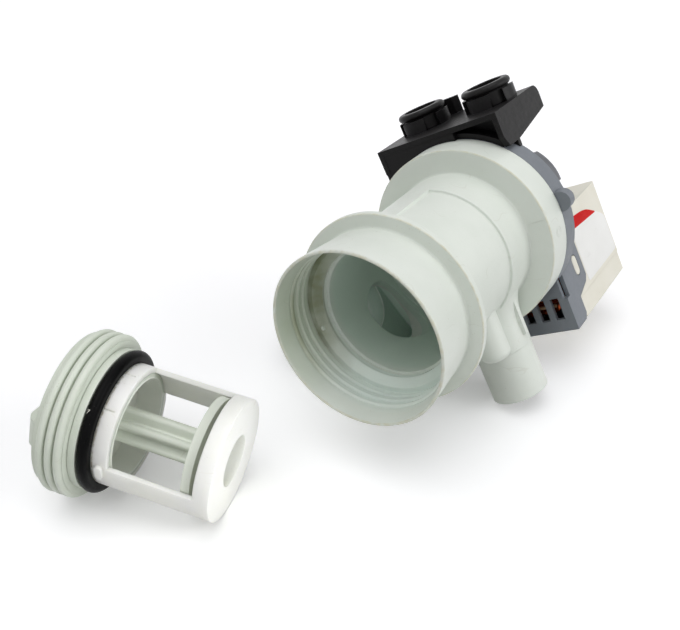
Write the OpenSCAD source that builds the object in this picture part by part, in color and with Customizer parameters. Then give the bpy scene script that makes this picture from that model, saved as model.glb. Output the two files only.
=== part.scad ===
// Drain pump of a washing machine with its lint filter taken out.
// The pump stands upside down on a table, on its two hose spigots and the motor's lower edge,
// and the filter lies in front of its mouth.
// Millimetres. +Z is up, and +Y runs along the pump's shaft, from the filter mouth to the motor.

/* [Pose on the table] */
// Flange centre of the pump, across the table
pump_x = 25.5; // [-60:0.1:60]
// Flange centre of the pump, along the table
pump_y = 44.7; // [-60:0.1:120]
// First thread ring of the filter, across the table
filter_x = -63.1; // [-160:0.1:0]
// First thread ring of the filter, along the table
filter_y = -100.4; // [-200:0.1:-60]
// Heading of the filter from +X
filter_yaw = 14.4; // [-40:0.1:60]
// Turn of the cage's windows about the filter's axis
cage_spin = 118; // [0:1:179]
// Turn of the cap about the filter's axis
cap_spin = 80; // [0:1:179]

/* [Pump housing] */
// Outer diameter of the mouth at its lip
lip_d = 72.6; // [70:0.1:80]
// Outer diameter of the mouth where it meets the collar
mouth_root_d = 68.6; // [68:0.1:72]
// Length of the mouth in front of the collar
mouth_len = 24.8; // [22:0.1:32]
// Inner diameter of the mouth in front of the thread
lead_bore_d = 67.2; // [66.6:0.1:68]
// Inner diameter of the mouth behind the thread
thread_bore_d = 66.2; // [66:0.1:66.4]
// Depth of the threaded mouth from the lip
thread_depth = 19.4; // [17:0.1:22]
// Inner diameter of the seat that the filter's seal closes on
seat_d = 56.6; // [56:0.1:60]
// Length of the seal seat
seat_len = 6; // [4:0.1:8]
// Diameter of the collar behind the mouth
collar_d = 79.8; // [76:0.1:86]
// Thickness of the collar
collar_t = 3; // [2:0.1:5]
// Outer diameter of the neck around the filter chamber
neck_d = 61.2; // [60:0.1:61.4]
// Length of the neck, from the volute to the collar's front
neck_len = 46.6; // [44:0.1:54]
// Inner diameter of the filter chamber
chamber_d = 54.4; // [52:0.1:55]
// Outer diameter of the volute
volute_d = 63.6; // [63.4:0.1:66]
// Length of the volute in front of the flange
volute_len = 19; // [18:0.1:22]
// Inner diameter of the volute
volute_bore_d = 58.4; // [56:0.1:60]
// Thickness of the wall between filter chamber and volute
eye_t = 2; // [1.5:0.1:3]
// Diameter of the suction eye in that wall
eye_d = 22; // [18:0.1:30]
// Diameter of the motor flange
flange_d = 84; // [82:0.1:90]
// Length of the flange's skirt, with its front wall
flange_len = 14.7; // [14:0.1:18]
// Thickness of the flange's front wall
flange_t = 3; // [2.5:0.1:4]
// Wall of the skirt
skirt_t = 2.5; // [2:0.1:3]
// Rounding of the housing's outer edges
edge_r = 0.5; // [0.4:0.1:0.6]
// Fillet of the housing's inner corners
root_r = 0.8; // [0.6:0.1:2]
// Lead-in chamfer of the seal seat
seat_lead = 2.8; // [1.5:0.1:3.4]
// Length of the lead-in inside the lip
lip_lead = 7; // [5:0.1:8]
// Thickness of the lip's edge
lip_edge = 1.1; // [0.9:0.1:1.6]

/* [Drain outlet] */
// Outer diameter of the outlet spigot
outlet_d = 25; // [22:0.1:28]
// Inner diameter of the outlet spigot
outlet_bore_d = 20; // [16:0.1:20.4]
// End of the outlet, from the shaft
outlet_reach = 69; // [66:0.1:80]
// Length of the outlet's hose end
outlet_hose_len = 22; // [16:0.1:24]
// Offset of the outlet from the shaft, across
outlet_x = 6; // [0:0.1:8]
// Offset of the outlet in front of the flange face
outlet_z = 10; // [9:0.1:11]
// Radius of the flare between the volute and the outlet
outlet_flare_r = 26; // [23:0.1:32]
// End of that flare, from the shaft
outlet_flare_end = 36; // [35:0.1:38]
// Width of the rib on the outlet
outlet_rib_w = 2.2; // [1:0.1:3]
// Height of that rib above the spigot
outlet_rib_h = 2; // [1:0.1:2.4]
// Length of that rib
outlet_rib_len = 17; // [10:0.1:20]
// Start of that rib, from the shaft
outlet_rib_start = 25.5; // [24:0.1:28]
// Place of that rib round the spigot
outlet_rib_turn = 2; // [-60:1:60]
// Spread of the flare past the outlet, on each side
outlet_flare_side = 8; // [6:0.1:9]

/* [Blanked stub] */
// Diameter of the blanked recirculation stub
stub_d = 13; // [12.4:0.1:14]
// End of the stub, from the shaft
stub_reach = 43; // [38:0.1:48]
// Offset of the stub from the shaft, across
stub_x = 14.5; // [12:0.1:16]
// Offset of the stub in front of the flange face
stub_z = 30; // [28:0.1:34]
// Rounding of the stub's blind end
stub_round = 3; // [1:0.1:3]

/* [Tub inlet] */
// Outer diameter of the inlet spigot
inlet_d = 42; // [38:0.1:44]
// Inner diameter of the inlet spigot
inlet_bore_d = 36.8; // [32:0.1:38]
// End of the inlet, from the shaft
inlet_reach = 77.1; // [70:0.1:90]
// Depth of the inlet duct along the shaft
duct_h = 48; // [47:0.1:52]
// Length of the duct, from the shaft
duct_len = 52; // [48:0.1:58]
// Wall of the duct
duct_t = 2.6; // [2:0.1:3]
// How far the duct's upper side is set in from the volute's
duct_set_in = 0.5; // [0.3:0.1:1]
// How far the duct reaches down past the spigot
duct_low = 10; // [9:0.1:12]
// Step between the duct's root and the bare neck, beside the shaft
duct_step_x = 7.4; // [5:0.1:9]
// Height of the opening between the duct and the filter chamber, along the shaft
opening_h = 23; // [18:0.1:23.6]
// Width of that opening
opening_w = 29.6; // [26:0.1:30]
// Offset of that opening from the shaft, away from the feet
opening_y = 5.3; // [2:0.1:6]

/* [Motor shield] */
// Thickness of the shield's rim behind the flange
shield_t = 10; // [8:0.1:10.4]
// Width of the motor box
box_w = 56.6; // [56:0.1:60]
// Underside of the motor box, from the shaft
box_drop = 57.3; // [57:0.1:60]
// Front of the motor box, behind the flange face
box_setback = 18.5; // [18:0.1:20]
// Wall of the shield
shield_wall = 2; // [1.5:0.1:2.2]
// Length of the shield's side walls
box_len = 12.5; // [11:0.1:14]
// Length of the two snap flaps
flap_len = 25; // [23:0.1:28]
// Upper edge of the flaps, below the shaft
flap_top = 13.6; // [13:0.1:16]
// Lower edge of the flaps, below the shaft
flap_bottom = 43.8; // [43:0.1:47]
// Fall of a flap's lower edge from its tip to its root
flap_fall = 3; // [1:0.1:4]
// Cut corner at a flap's tip and at the box's lower rear edge
flap_corner = 2.4; // [1:0.1:3]
// Length of the window in each flap
flap_window_len = 10; // [8:0.1:12]
// Width of the window in each flap
flap_window_w = 5.2; // [4:0.1:6]
// Width of a vent slot
vent_w = 4.1; // [2:0.1:4.4]
// Length of a vent slot
vent_len = 10.4; // [8:0.1:11]
// Distance between vent slots
vent_pitch = 7.2; // [6.6:0.1:7.3]
// Number of vent slots
vent_count = 7; // [3:2:7]
// Radius of the two lock ears on the rim
ear_r = 4.4; // [3.5:0.1:6]
// Height of those ears above the shaft
ear_y = 2.8; // [0:0.1:5]

/* [Coil housing and stator] */
// Rear of the motor, behind the flange face
motor_len = 86.5; // [77:0.1:90]
// Top of the coil housing, below the shaft
coil_top = 10.4; // [9.6:0.1:11]
// Rounding of the coil housing's rear edges
coil_round = 2.6; // [1:0.1:4]
// Fold in the coil housing's sides, below the shaft
coil_fold = 46.6; // [46:0.1:50]
// Wall of the coil housing
coil_wall = 2; // [1.6:0.1:2.4]
// Front of the lamination stack, behind the flange face
stack_setback = 28; // [27:0.1:29]
// Gap between the windings and the terminal socket
coil_gap = 3.8; // [2:0.1:6]
// Width of each stator leg
leg_w = 11; // [9:0.1:11.4]
// Distance of each leg's middle from the shaft's plane
leg_x = 14; // [13.6:0.1:14.2]
// Height of the stator's yoke
yoke_h = 8; // [7:0.1:9]
// Top of the pole tips, above the shaft
pole_top = 16; // [14:0.1:19]
// Radius of the pole tips' outer corners, from the shaft
pole_r = 23; // [21:0.1:25]
// Wall of each coil bobbin
bobbin_wall = 1.2; // [0.8:0.1:1.4]
// Thickness of a bobbin's end flanges
bobbin_flange_t = 1.4; // [1:0.1:2]
// Thickness of the copper winding
winding_t = 3.6; // [3:0.1:3.8]
// Top of the bobbins, below the shaft
bobbin_top = 17.4; // [17:0.1:20]
// Width of a terminal blade
blade_w = 6.3; // [4.8:0.1:6.3]
// Thickness of a terminal blade
blade_t = 0.8; // [0.5:0.1:1]
// Distance between the two terminal blades
blade_pitch = 12; // [10:0.1:12]
// Depth of the terminal socket
socket_depth = 11; // [9:0.1:12]

/* [Rotor and impeller] */
// Outer diameter of the rotor can
can_d = 30.8; // [29:0.1:31]
// Wall of the rotor can
can_t = 1.2; // [1:0.1:1.4]
// Length of the rotor can behind the flange face
can_len = 65.5; // [64:0.1:66]
// Thickness of the rotor can's cover disc
cover_t = 4; // [3.5:0.1:4.2]
// Diameter of the shaft
shaft_d = 4; // [3:0.1:4.5]
// Diameter of the rotor magnet
magnet_d = 24.6; // [22:0.1:25.4]
// Length of the rotor magnet
magnet_len = 30; // [26:0.1:32]
// How far the rotor sleeve stands out of the magnet
sleeve_over = 1; // [0.5:0.1:2]
// Gap between the rotor sleeve and the rear bearing
rotor_gap = 1.3; // [0.5:0.1:2]
// Diameter of the rotor sleeve inside the magnet
sleeve_d = 9; // [7:0.1:11]
// Length of each shaft bearing
bearing_len = 5; // [4:0.1:5.4]
// Outer diameter of each shaft bearing
bearing_d = 9; // [8:0.1:10]
// Diameter of the impeller
impeller_d = 46; // [40:0.1:50]
// Height of the impeller's vanes
vane_h = 8; // [6:0.1:8.6]
// Thickness of a vane
vane_t = 1.6; // [1.2:0.1:2]
// Number of vanes
vane_count = 8; // [6:1:10]
// Diameter of the impeller's hub
hub_d = 14; // [13.4:0.1:16]
// Angle that the drive dog and the hub's stop each take up
dog_angle = 80; // [60:1:90]

/* [Foot bracket] */
// Outer width of the foot bracket
bracket_w = 62; // [60:0.1:64]
// Underside of the bracket's plate, above the shaft
plate_y = 44.8; // [44.6:0.1:48]
// Thickness of the bracket's walls
bracket_t = 2.4; // [2:0.1:3]
// Front of the bracket, behind the flange face
bracket_front = 12; // [11:0.1:14]
// Rear of the bracket, behind the flange face
bracket_rear = 57; // [56:0.1:62]
// Rounding of the wings' upper rear corners
wing_round = 4.5; // [2:0.1:6]
// Distance of each foot from the shaft's plane
foot_x = 17.3; // [16.4:0.1:17.6]
// Distance of the feet behind the flange face
foot_setback = 38; // [37:0.1:40]
// Height of a foot above the plate
foot_h = 9.6; // [8:0.1:13]
// Diameter of a foot's rolled rim
foot_rim_d = 22.4; // [21:0.1:24]
// Diameter of the blind hole in a foot
foot_bore_d = 15.6; // [14:0.1:16]
// Depth of the blind hole in a foot
foot_bore_depth = 9; // [7:0.1:10]

/* [Filter] */
// Diameter over the cap's thread
thread_d = 64.4; // [62:0.1:65.6]
// Distance between the cap's thread rings
thread_pitch = 3.5; // [3:0.1:4]
// Number of thread rings that show
thread_rings = 3; // [2:1:4]
// Depth of the thread
thread_h = 2; // [1.8:0.1:2.4]
// Diameter of the cap's seal land
land_d = 55; // [54:0.1:57]
// Width of the seal land in front of the seal
land_len = 2.9; // [2:0.1:4]
// Outer diameter of the seal
seal_d = 56; // [55.4:0.1:58]
// Diameter of the seal's cord
seal_cord = 4.2; // [4:0.1:5]
// Outer diameter of the filter cage
cage_d = 47.4; // [46:0.1:50]
// Wall of the cage
cage_t = 2; // [1.6:0.1:2.4]
// Length of the cage
cage_len = 45.6; // [42:0.1:54]
// Length of the cage's collar
cage_collar = 6.1; // [5:0.1:9]
// Length of the cage's end ring
cage_end = 6.2; // [6:0.1:10]
// Radius of the clip lug at each bar's root
clip_r = 2.2; // [1.5:0.1:2.6]
// Width of the slits beside the collar's spring tongues
slit_w = 0.4; // [0.3:0.1:0.8]
// Depth of those slits
slit_depth = 0.5; // [0.3:0.1:1]
// Angle that each of the cage's two bars takes up
bar_angle = 51; // [30:1:80]
// Diameter of the hole in the cage's end
cage_hole_d = 20; // [14:0.1:24]
// Depth of the collar round that hole
cage_hole_len = 5.4; // [3:0.1:5.6]
// Span of the ribbed core
core_d = 15; // [12:0.1:18]
// Number of ribs across the core
core_ribs = 3; // [2:1:3]
// Thickness of the core's ribs
core_rib_t = 2.8; // [2:0.1:3.4]
// Thickness of the core's disc
core_disc_t = 3.4; // [2:0.1:4]
// Gap between the core's disc and the cage's end ring
core_disc_gap = 2.2; // [1.6:0.1:6]
// Length of the grip bar on the cap
grip_len = 48; // [36:0.1:50]
// Thickness of the grip bar
grip_t = 11; // [8:0.1:13]
// Height of the grip bar in front of the thread
grip_h = 9; // [4:0.1:12]

/* [Fits] */
// Gap between pieces that are pushed or laid together
fit = 0.2; // [0.1:0.01:0.25]
// Radial clearance of what turns on the shaft
run = 0.05; // [0.02:0.01:0.08]

/* [Hidden] */
$fn = 96;

// Overshoot of a cut past the face that it opens
cut = 1;

housing_white = [0.86, 0.89, 0.86];
filter_white = [0.93, 0.94, 0.92];
shield_grey = [0.42, 0.45, 0.48];
coil_cream = [0.93, 0.91, 0.83];
steel_dark = [0.35, 0.36, 0.38];
steel_bright = [0.72, 0.73, 0.75];
copper_brown = [0.50, 0.24, 0.12];
foot_black = [0.08, 0.08, 0.08];
rubber_black = [0.05, 0.05, 0.05];
ferrite_grey = [0.22, 0.22, 0.24];

// Planes across the shaft, counted from the flange face towards the mouth
collar_z = volute_len + neck_len;
lip_z = collar_z + mouth_len;
thread_z = lip_z - thread_depth;
seat_z = thread_z - seat_len;
eye_z = volute_len - eye_t;
cover_front_z = -flange_t - fit;
cover_back_z = cover_front_z - cover_t;
shield_front_z = -flange_len - fit;
shield_back_z = shield_front_z - shield_t;
box_front_z = -box_setback;
box_back_z = box_front_z - box_len;
flap_back_z = box_front_z - flap_len;
flap_window_z = (box_back_z + flap_back_z) / 2 + fit;
coil_front_z = box_front_z - shield_wall - fit;
stack_front_z = -stack_setback;
stack_t = motor_len - socket_depth - coil_wall - coil_gap - 2 * fit - bobbin_wall - winding_t - stack_setback;
stack_back_z = stack_front_z - stack_t;
stack_mid_z = (stack_front_z + stack_back_z) / 2;
plate_top = plate_y + bracket_t;
foot_z = -foot_setback;

// Radii and widths that follow from their neighbours
flange_r = flange_d / 2;
volute_r = volute_d / 2;
neck_r = neck_d / 2;
skirt_bore_r = flange_r - skirt_t;
cover_r = skirt_bore_r - fit;
can_r = can_d / 2;
can_bore_r = can_r - can_t;
can_back_z = -can_len;
pole_bore_r = can_r + 3 * fit;
box_half = box_w / 2;
box_in_half = box_half - shield_wall;
coil_in_half = leg_x + leg_w / 2 + bobbin_wall + winding_t + 3 * fit;
yoke_bottom = box_drop - coil_wall - fit;
yoke_top = yoke_bottom - yoke_h;
bobbin_bottom = yoke_top - fit;
bobbin_mid_y = -(bobbin_top + bobbin_bottom) / 2;
bobbin_len = bobbin_bottom - bobbin_top;
sleeve_bore_r = shaft_d / 2;
duct_w = inlet_d + 2 * (duct_t - fit) + duct_low;
duct_room = duct_h - volute_len - eye_t - duct_t;
outlet_root_d = outlet_d + 3 * fit;
outlet_flare_w = outlet_root_d / 2 + outlet_flare_side;
foot_groove_d = foot_bore_d + bracket_t;
foot_rim_r = (foot_rim_d - foot_bore_d) / 4;
foot_body_r = foot_groove_d / 2 + bracket_t / 4;
socket_r = foot_body_r + fit + bracket_t * 0.8;

// Places along the filter, counted from the first thread ring towards the cage
thread_len = thread_pitch * thread_rings;
land_z = thread_len + fit;
seal_z = land_z + land_len;
cage_z = seal_z + seal_cord + fit;
cage_end_z = cage_z + cage_len;
cage_in_r = cage_d / 2 - cage_t;
core_disc_z = cage_end_z - cage_end - core_disc_gap - core_disc_t;
thread_r = thread_d / 2;
last_ring_z = thread_len - thread_pitch / 2;
filter_tilt = atan((thread_r - cage_d / 2) / (cage_end_z - last_ring_z));
crest_r = thread_pitch * 0.42;
filter_h = last_ring_z * sin(filter_tilt) + (thread_r - crest_r) * cos(filter_tilt) + crest_r;

// The pump leans until the outlet's end and the motor box's lower edge both stand on the table,
// and the inlet slopes down to the table as well
lean = atan2(outlet_reach - box_drop, box_half + outlet_x - outlet_d / 2);
function drop(x, y) = -(x * sin(lean) + y * cos(lean));
inlet_mid = volute_r - inlet_d / 2 - duct_t + fit;
inlet_leg = inlet_d / 2 - inlet_mid;
shaft_h = drop(outlet_x - outlet_d / 2, -outlet_reach);
inlet_slope = asin(shaft_h / norm([inlet_reach, inlet_leg])) - atan2(inlet_leg, inlet_reach);
inlet_drop = inlet_slope - lean;

// Puts a piece drawn along the shaft, mouth towards +Z and feet towards +Y, where the pump stands
module in_pump() {
    translate([pump_x, pump_y, shaft_h]) rotate([0, -lean, 0]) rotate([90, 0, 0]) children();
}

// Puts a piece drawn along the filter, cage towards +Z, where the filter lies
module in_filter(spin) {
    translate([filter_x, filter_y, filter_h]) rotate([0, 0, filter_yaw])
        rotate([0, 90 + filter_tilt, 0]) rotate([0, 0, spin]) children();
}

module tube(d_out, d_in, h) {
    difference() {
        cylinder(d = d_out, h = h);
        translate([0, 0, -cut]) cylinder(d = d_in, h = h + 2 * cut);
    }
}

module rounded_square(w, h, r) {
    square([w - 2 * r, h], center = true);
    square([w, h - 2 * r], center = true);
    for (x = [-1, 1], y = [-1, 1]) translate([x * (w / 2 - r), y * (h / 2 - r)]) circle(r);
}

module slot_2d(w, len) {
    square([w, len - w], center = true);
    for (y = [-1, 1]) translate([0, y * (len - w) / 2]) circle(d = w);
}

// Half outline of a rod whose far end is rounded, for turning about its axis
module rounded_rod_half(r, len, round) {
    square([r, len - round]);
    square([r - round, len]);
    translate([r - round, len - round]) circle(round);
}

// Half outline of a disc whose two outer edges are rounded
module disc_half(r, h, round) {
    translate([0, round]) square([r, h - 2 * round]);
    square([r - round, h]);
    for (z = [round, h - round]) translate([r - round, z]) circle(round);
}

// Fillet in the corner at the origin, between +X and +Y
module fillet_2d(r) {
    difference() {
        translate([-cut, -cut]) square(r + cut);
        translate([r, r]) circle(r);
    }
}

module sector(r_in, r_out, h, angle) {
    rotate([0, 0, -angle / 2]) rotate_extrude(angle = angle)
        translate([r_in, 0]) square([r_out - r_in, h]);
}

// Frame of the outlet and the stub: +Z runs down, away from the feet
module down_from(x, z) {
    translate([x, 0, z]) rotate([90, 0, 0]) children();
}

// Frame of the inlet: +X runs out along the duct, and -Y faces the feet
module along_inlet() {
    rotate([0, 0, 180 + inlet_drop]) children();
}

module outlet_outside() {
    down_from(outlet_x, outlet_z) {
        cylinder(d = outlet_d, h = outlet_reach);
        cylinder(d = outlet_root_d, h = outlet_reach - outlet_hose_len);
        rotate([0, 0, outlet_rib_turn])
            translate([outlet_d / 2 - outlet_rib_h, -outlet_rib_w / 2, outlet_rib_start])
                cube([2 * outlet_rib_h, outlet_rib_w, outlet_rib_len]);
    }
    // Flare that eases the volute into the outlet, ending inside the flange's front wall
    intersection() {
        down_from(outlet_x, outlet_z) rotate_extrude() difference() {
            translate([0, volute_r / 2]) square([outlet_root_d, outlet_flare_end - volute_r / 2]);
            translate([outlet_root_d / 2 + outlet_flare_r, outlet_flare_end]) circle(outlet_flare_r);
        }
        translate([0, 0, -flange_t / 2]) cylinder(r = flange_r - edge_r, h = collar_z);
        translate([outlet_x - outlet_flare_w, -flange_r, -flange_t / 2])
            cube([2 * outlet_flare_w, flange_r, collar_z]);
    }
}

module outlet_inside() {
    down_from(outlet_x, outlet_z)
        translate([0, 0, neck_r]) cylinder(d = outlet_bore_d, h = outlet_reach - neck_r + cut);
    // Only the volute opens into the outlet, behind the wall of the filter chamber
    intersection() {
        down_from(outlet_x, outlet_z)
            translate([0, 0, volute_r / 2])
                cylinder(d = outlet_bore_d, h = neck_r - volute_r / 2 + cut);
        translate([-flange_r, -flange_r, 0]) cube([flange_d, flange_d, eye_z]);
    }
}

module stub_outside() {
    down_from(stub_x, stub_z) rotate_extrude() rounded_rod_half(stub_d / 2, stub_reach, stub_round);
    // Web between the stub and the outlet behind it
    down_from(stub_x, outlet_z)
        translate([-stub_d / 4, 0, 0]) cube([stub_d / 4, stub_z - outlet_z, stub_reach - stub_d]);
}

module inlet_outside() {
    along_inlet() {
        translate([0, duct_set_in - volute_r, 0]) cube([duct_len, duct_w - duct_set_in, duct_h]);
        translate([duct_len - duct_t, -inlet_mid, duct_h / 2]) rotate([0, 90, 0])
            cylinder(d = inlet_d, h = inlet_reach - duct_len + duct_t);
    }
    // The duct's root wraps round the neck, level with the volute, and ends in a step on the feet's side
    intersection() {
        translate([0, 0, -flange_t / 2])
            cylinder(r = volute_r - fit / 2, h = duct_h + flange_t / 2 - duct_set_in);
        translate([duct_step_x - flange_d, -flange_r, -flange_t])
            cube([flange_d, flange_d, duct_h + flange_t]);
    }
}

module inlet_inside() {
    along_inlet() {
        translate([neck_r, duct_set_in + duct_t - volute_r, volute_len + eye_t])
            cube([duct_len - duct_t - neck_r, duct_w - duct_set_in - 2 * duct_t, duct_room]);
        translate([duct_len - 4 * duct_t, -inlet_mid, duct_h / 2]) rotate([0, 90, 0])
            cylinder(d = inlet_bore_d, h = inlet_reach);
        translate([0, opening_y, volute_len + eye_t + duct_room / 2]) rotate([0, 90, 0])
            linear_extrude(neck_r + duct_t) slot_2d(opening_h, opening_w);
        // The duct's room reaches further back beside the volute
        translate([volute_r + duct_t, duct_set_in + duct_t - volute_r + fit, duct_t])
            cube([duct_len - 2 * duct_t - volute_r - fit, duct_w - duct_set_in - 2 * (duct_t + fit),
                  duct_h - 3 * duct_t]);
    }
}

// Half section of the round body, with its edges rounded and its corners filleted
module housing_section() {
    lip_r = lip_d / 2;
    root = mouth_root_d / 2;
    translate([0, -flange_len]) rounded_rod_half(flange_r, flange_len, edge_r);
    rounded_rod_half(volute_r, volute_len, edge_r);
    square([neck_r, collar_z - collar_t / 2]);
    translate([0, collar_z - collar_t]) disc_half(collar_d / 2, collar_t, edge_r);
    polygon([
        [0, collar_z - cut],
        [root, collar_z - cut],
        [root, collar_z],
        [lip_r, lip_z - edge_r],
        [0, lip_z - edge_r],
    ]);
    translate([0, lip_z - 2 * edge_r]) square([lip_r - edge_r, 2 * edge_r]);
    translate([lip_r - edge_r, lip_z - edge_r]) circle(edge_r);
    translate([volute_r, 0]) fillet_2d(root_r);
    translate([neck_r, volute_len]) fillet_2d(edge_r);
    translate([neck_r, collar_z - collar_t]) mirror([0, 1]) fillet_2d(root_r);
    translate([root, collar_z]) fillet_2d(root_r);
}

module housing_outside() {
    rotate_extrude() housing_section();
    outlet_outside();
    stub_outside();
    inlet_outside();
}

module housing_inside() {
    // Threaded mouth, which widens once more behind the lip
    rotate_extrude() polygon([
        [0, thread_z],
        [thread_bore_d / 2, thread_z],
        [lead_bore_d / 2, lip_z - lip_lead],
        [lip_d / 2 - lip_edge, lip_z],
        [lip_d / 2 - lip_edge, lip_z + cut],
        [0, lip_z + cut],
    ]);
    translate([0, 0, seat_z]) cylinder(d = seat_d, h = seat_len);
    translate([0, 0, thread_z - seat_lead])
        cylinder(d1 = seat_d, d2 = seat_d + 2 * seat_lead, h = seat_lead);
    translate([0, 0, volute_len]) cylinder(d = chamber_d, h = seat_z - volute_len);
    translate([0, 0, eye_z - cut]) cylinder(d = eye_d, h = eye_t + 2 * cut);
    translate([0, 0, -flange_t - cut]) cylinder(d = volute_bore_d, h = eye_z + flange_t + cut);
    translate([0, 0, -flange_len - cut]) cylinder(r = skirt_bore_r, h = flange_len - flange_t + cut);
    outlet_inside();
    inlet_inside();
}

module pump_housing() {
    color(housing_white) in_pump() difference() {
        housing_outside();
        housing_inside();
    }
}

module shield_flap_window() {
    rotate([90, 0, 90]) linear_extrude(box_w + 2 * cut, center = true)
        translate([-(flap_window_y()), flap_window_z]) slot_turned();
}

function flap_window_y() = flap_bottom - flap_window_len;

// Outline of a snap flap from the side, widened all round by a gap
module flap_outline(gap) {
    polygon([
        [gap - flap_top, box_front_z - shield_wall],
        [gap - flap_top, flap_back_z - gap],
        [flap_corner - flap_bottom, flap_back_z - gap],
        [-gap - flap_bottom, flap_back_z + flap_corner],
        [-gap - flap_bottom - flap_fall, box_back_z],
        [-gap - flap_bottom - flap_fall, box_front_z - shield_wall],
    ]);
}

module slot_turned() {
    rotate([0, 0, 90]) slot_2d(flap_window_w, flap_window_len);
}

module motor_shield() {
    color(shield_grey) in_pump() difference() {
        union() {
            translate([0, 0, shield_back_z]) cylinder(d = flange_d, h = shield_t);
            translate([0, 0, shield_front_z]) cylinder(r = cover_r, h = cover_back_z - fit - shield_front_z);
            for (side = [-1, 1])
                translate([side * (flange_r + ear_r / 5), ear_y, shield_front_z - shield_t / 2])
                    cylinder(r = ear_r, h = shield_t / 2 - fit);
            translate([-box_half, -box_drop, box_back_z]) cube([box_w, box_drop, box_len]);
            for (side = [-1, 1]) translate([side * (box_half - shield_wall / 2), 0, 0])
                rotate([90, 0, 90]) linear_extrude(shield_wall, center = true) flap_outline(0);
        }
        // Cut-off rear edge of the box's floor
        translate([0, -box_drop, box_back_z]) rotate([45, 0, 0])
            cube([box_w + 2 * cut, flap_corner * sqrt(2), flap_corner * sqrt(2)], center = true);
        // Inside of the box, open to the coils behind
        translate([-box_in_half, -box_drop + shield_wall, box_back_z - flap_len])
            cube([2 * box_in_half, box_drop - shield_wall - coil_top + fit,
                  flap_len + box_len - shield_wall]);
        // Moulded recess round the rotor can, behind the cover disc
        translate([0, 0, box_front_z]) tube(2 * (cover_r - shield_wall - cut),
            2 * (pole_bore_r + shield_wall), box_setback);
        translate([0, 0, -motor_len]) cylinder(r = pole_bore_r, h = motor_len);
        // The stator's poles stand behind the upper half of the rim
        translate([-flange_r - cut, -coil_top, box_back_z - cut])
            cube([flange_d + 2 * cut, flange_r, shield_back_z - box_back_z + cut]);
        for (i = [-(vent_count - 1) / 2 : (vent_count - 1) / 2])
            translate([i * vent_pitch - vent_w / 2, -box_drop + 3 * shield_wall, box_front_z])
                translate([0, 0, -2 * shield_wall]) cube([vent_w, vent_len, 3 * shield_wall]);
        // Notches at the flaps' roots, and the windows that catch the coil housing's lugs
        for (side = [-1, 1]) translate([side * box_half, -flap_bottom + shield_wall, box_front_z])
            translate([-shield_wall, 0, -shield_wall - cut])
                cube([2 * shield_wall, vent_len, shield_wall + 2 * cut]);
        shield_flap_window();
    }
}

module coil_housing() {
    color(coil_cream) in_pump() {
        difference() {
            union() {
                coil_block(coil_top, coil_fold + cut, 0);
                coil_block(coil_fold, box_drop, 2 * fit);
                translate([-box_in_half + fit, -box_drop + shield_wall + fit, box_back_z - 2 * coil_wall])
                    cube([2 * (box_in_half - fit), box_drop - shield_wall - coil_top - 2 * fit,
                          coil_front_z - box_back_z + 2 * coil_wall]);
            }
            // Room for the coils, open to the shield
            translate([-coil_in_half, -box_drop + coil_wall, -motor_len + coil_wall])
                cube([2 * coil_in_half, box_drop - coil_top - 2 * coil_wall, motor_len]);
            translate([0, 0, -motor_len - cut]) cylinder(r = pole_bore_r, h = motor_len);
            // Pockets under the shield's flaps
            for (side = [-1, 1]) translate([side * (box_half + box_in_half - fit) / 2, 0, 0])
                rotate([90, 0, 90]) linear_extrude(shield_wall + fit, center = true) flap_outline(fit);
            // Openings behind the shield's notches
            for (side = [-1, 1]) translate([side * (box_in_half + coil_in_half) / 2,
                    shield_wall + vent_len / 2 - flap_bottom, coil_front_z])
                cube([box_in_half - coil_in_half + 2 * cut, vent_len, 8 * coil_wall], center = true);
            // Ways for the stator's legs
            for (side = [-1, 1]) translate([side * leg_x, -coil_top - coil_wall / 2, stack_mid_z])
                cube([leg_w + 2 * fit, 2 * coil_wall, stack_t + 2 * fit], center = true);
            terminal_socket(blade_pitch + blade_w + 4 * fit + coil_wall, socket_depth + cut);
        }
        coil_lugs();
        terminal_socket_wall();
    }
}

// Block of the coil housing between two heights below the shaft, set in from the shield's sides
module coil_block(top, bottom, set_in) {
    half = box_half - set_in;
    translate([0, -top, 0]) rotate([90, 0, 0]) linear_extrude(bottom - top) {
        translate([-half, coil_round - motor_len])
            square([2 * half, motor_len - coil_round + box_back_z - fit]);
        translate([coil_round - half, -motor_len]) square([2 * (half - coil_round), 2 * coil_round]);
        for (side = [-1, 1])
            translate([side * (half - coil_round), coil_round - motor_len]) circle(coil_round);
    }
}

// Lugs that the shield's flaps snap over
module coil_lugs() {
    for (side = [-1, 1]) translate([side * (box_in_half - fit), -flap_window_y(), flap_window_z])
        rotate([0, side * 90, 0]) linear_extrude(shield_wall + fit)
            slot_2d(flap_window_w - 4 * fit, flap_window_len - 4 * fit);
}

module terminal_socket(w, depth) {
    translate([0, bobbin_mid_y, -motor_len + socket_depth - depth])
        linear_extrude(depth) rounded_square(w, blade_w + 2 * coil_wall, coil_wall / 2);
}

// Walls and floor of the terminal socket, with a slot for each blade
module terminal_socket_wall() {
    w = blade_pitch + blade_w + 4 * fit + coil_wall;
    difference() {
        translate([0, bobbin_mid_y, -motor_len])
            linear_extrude(socket_depth + coil_wall)
                rounded_square(w + 2 * coil_wall, blade_w + 4 * coil_wall, coil_wall);
        terminal_socket(w, socket_depth + cut);
        blades(fit / 2);
    }
}

module blades(gap) {
    blade_z = -motor_len + socket_depth / 2 + coil_wall;
    for (side = [-1, 1]) translate([side * blade_pitch / 2, bobbin_mid_y, blade_z])
        cube([blade_t + 2 * gap, blade_w + 2 * gap, socket_depth + coil_wall + 2 * gap], center = true);
}

module terminal_blades() {
    color(steel_bright) in_pump() blades(0);
}

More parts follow.
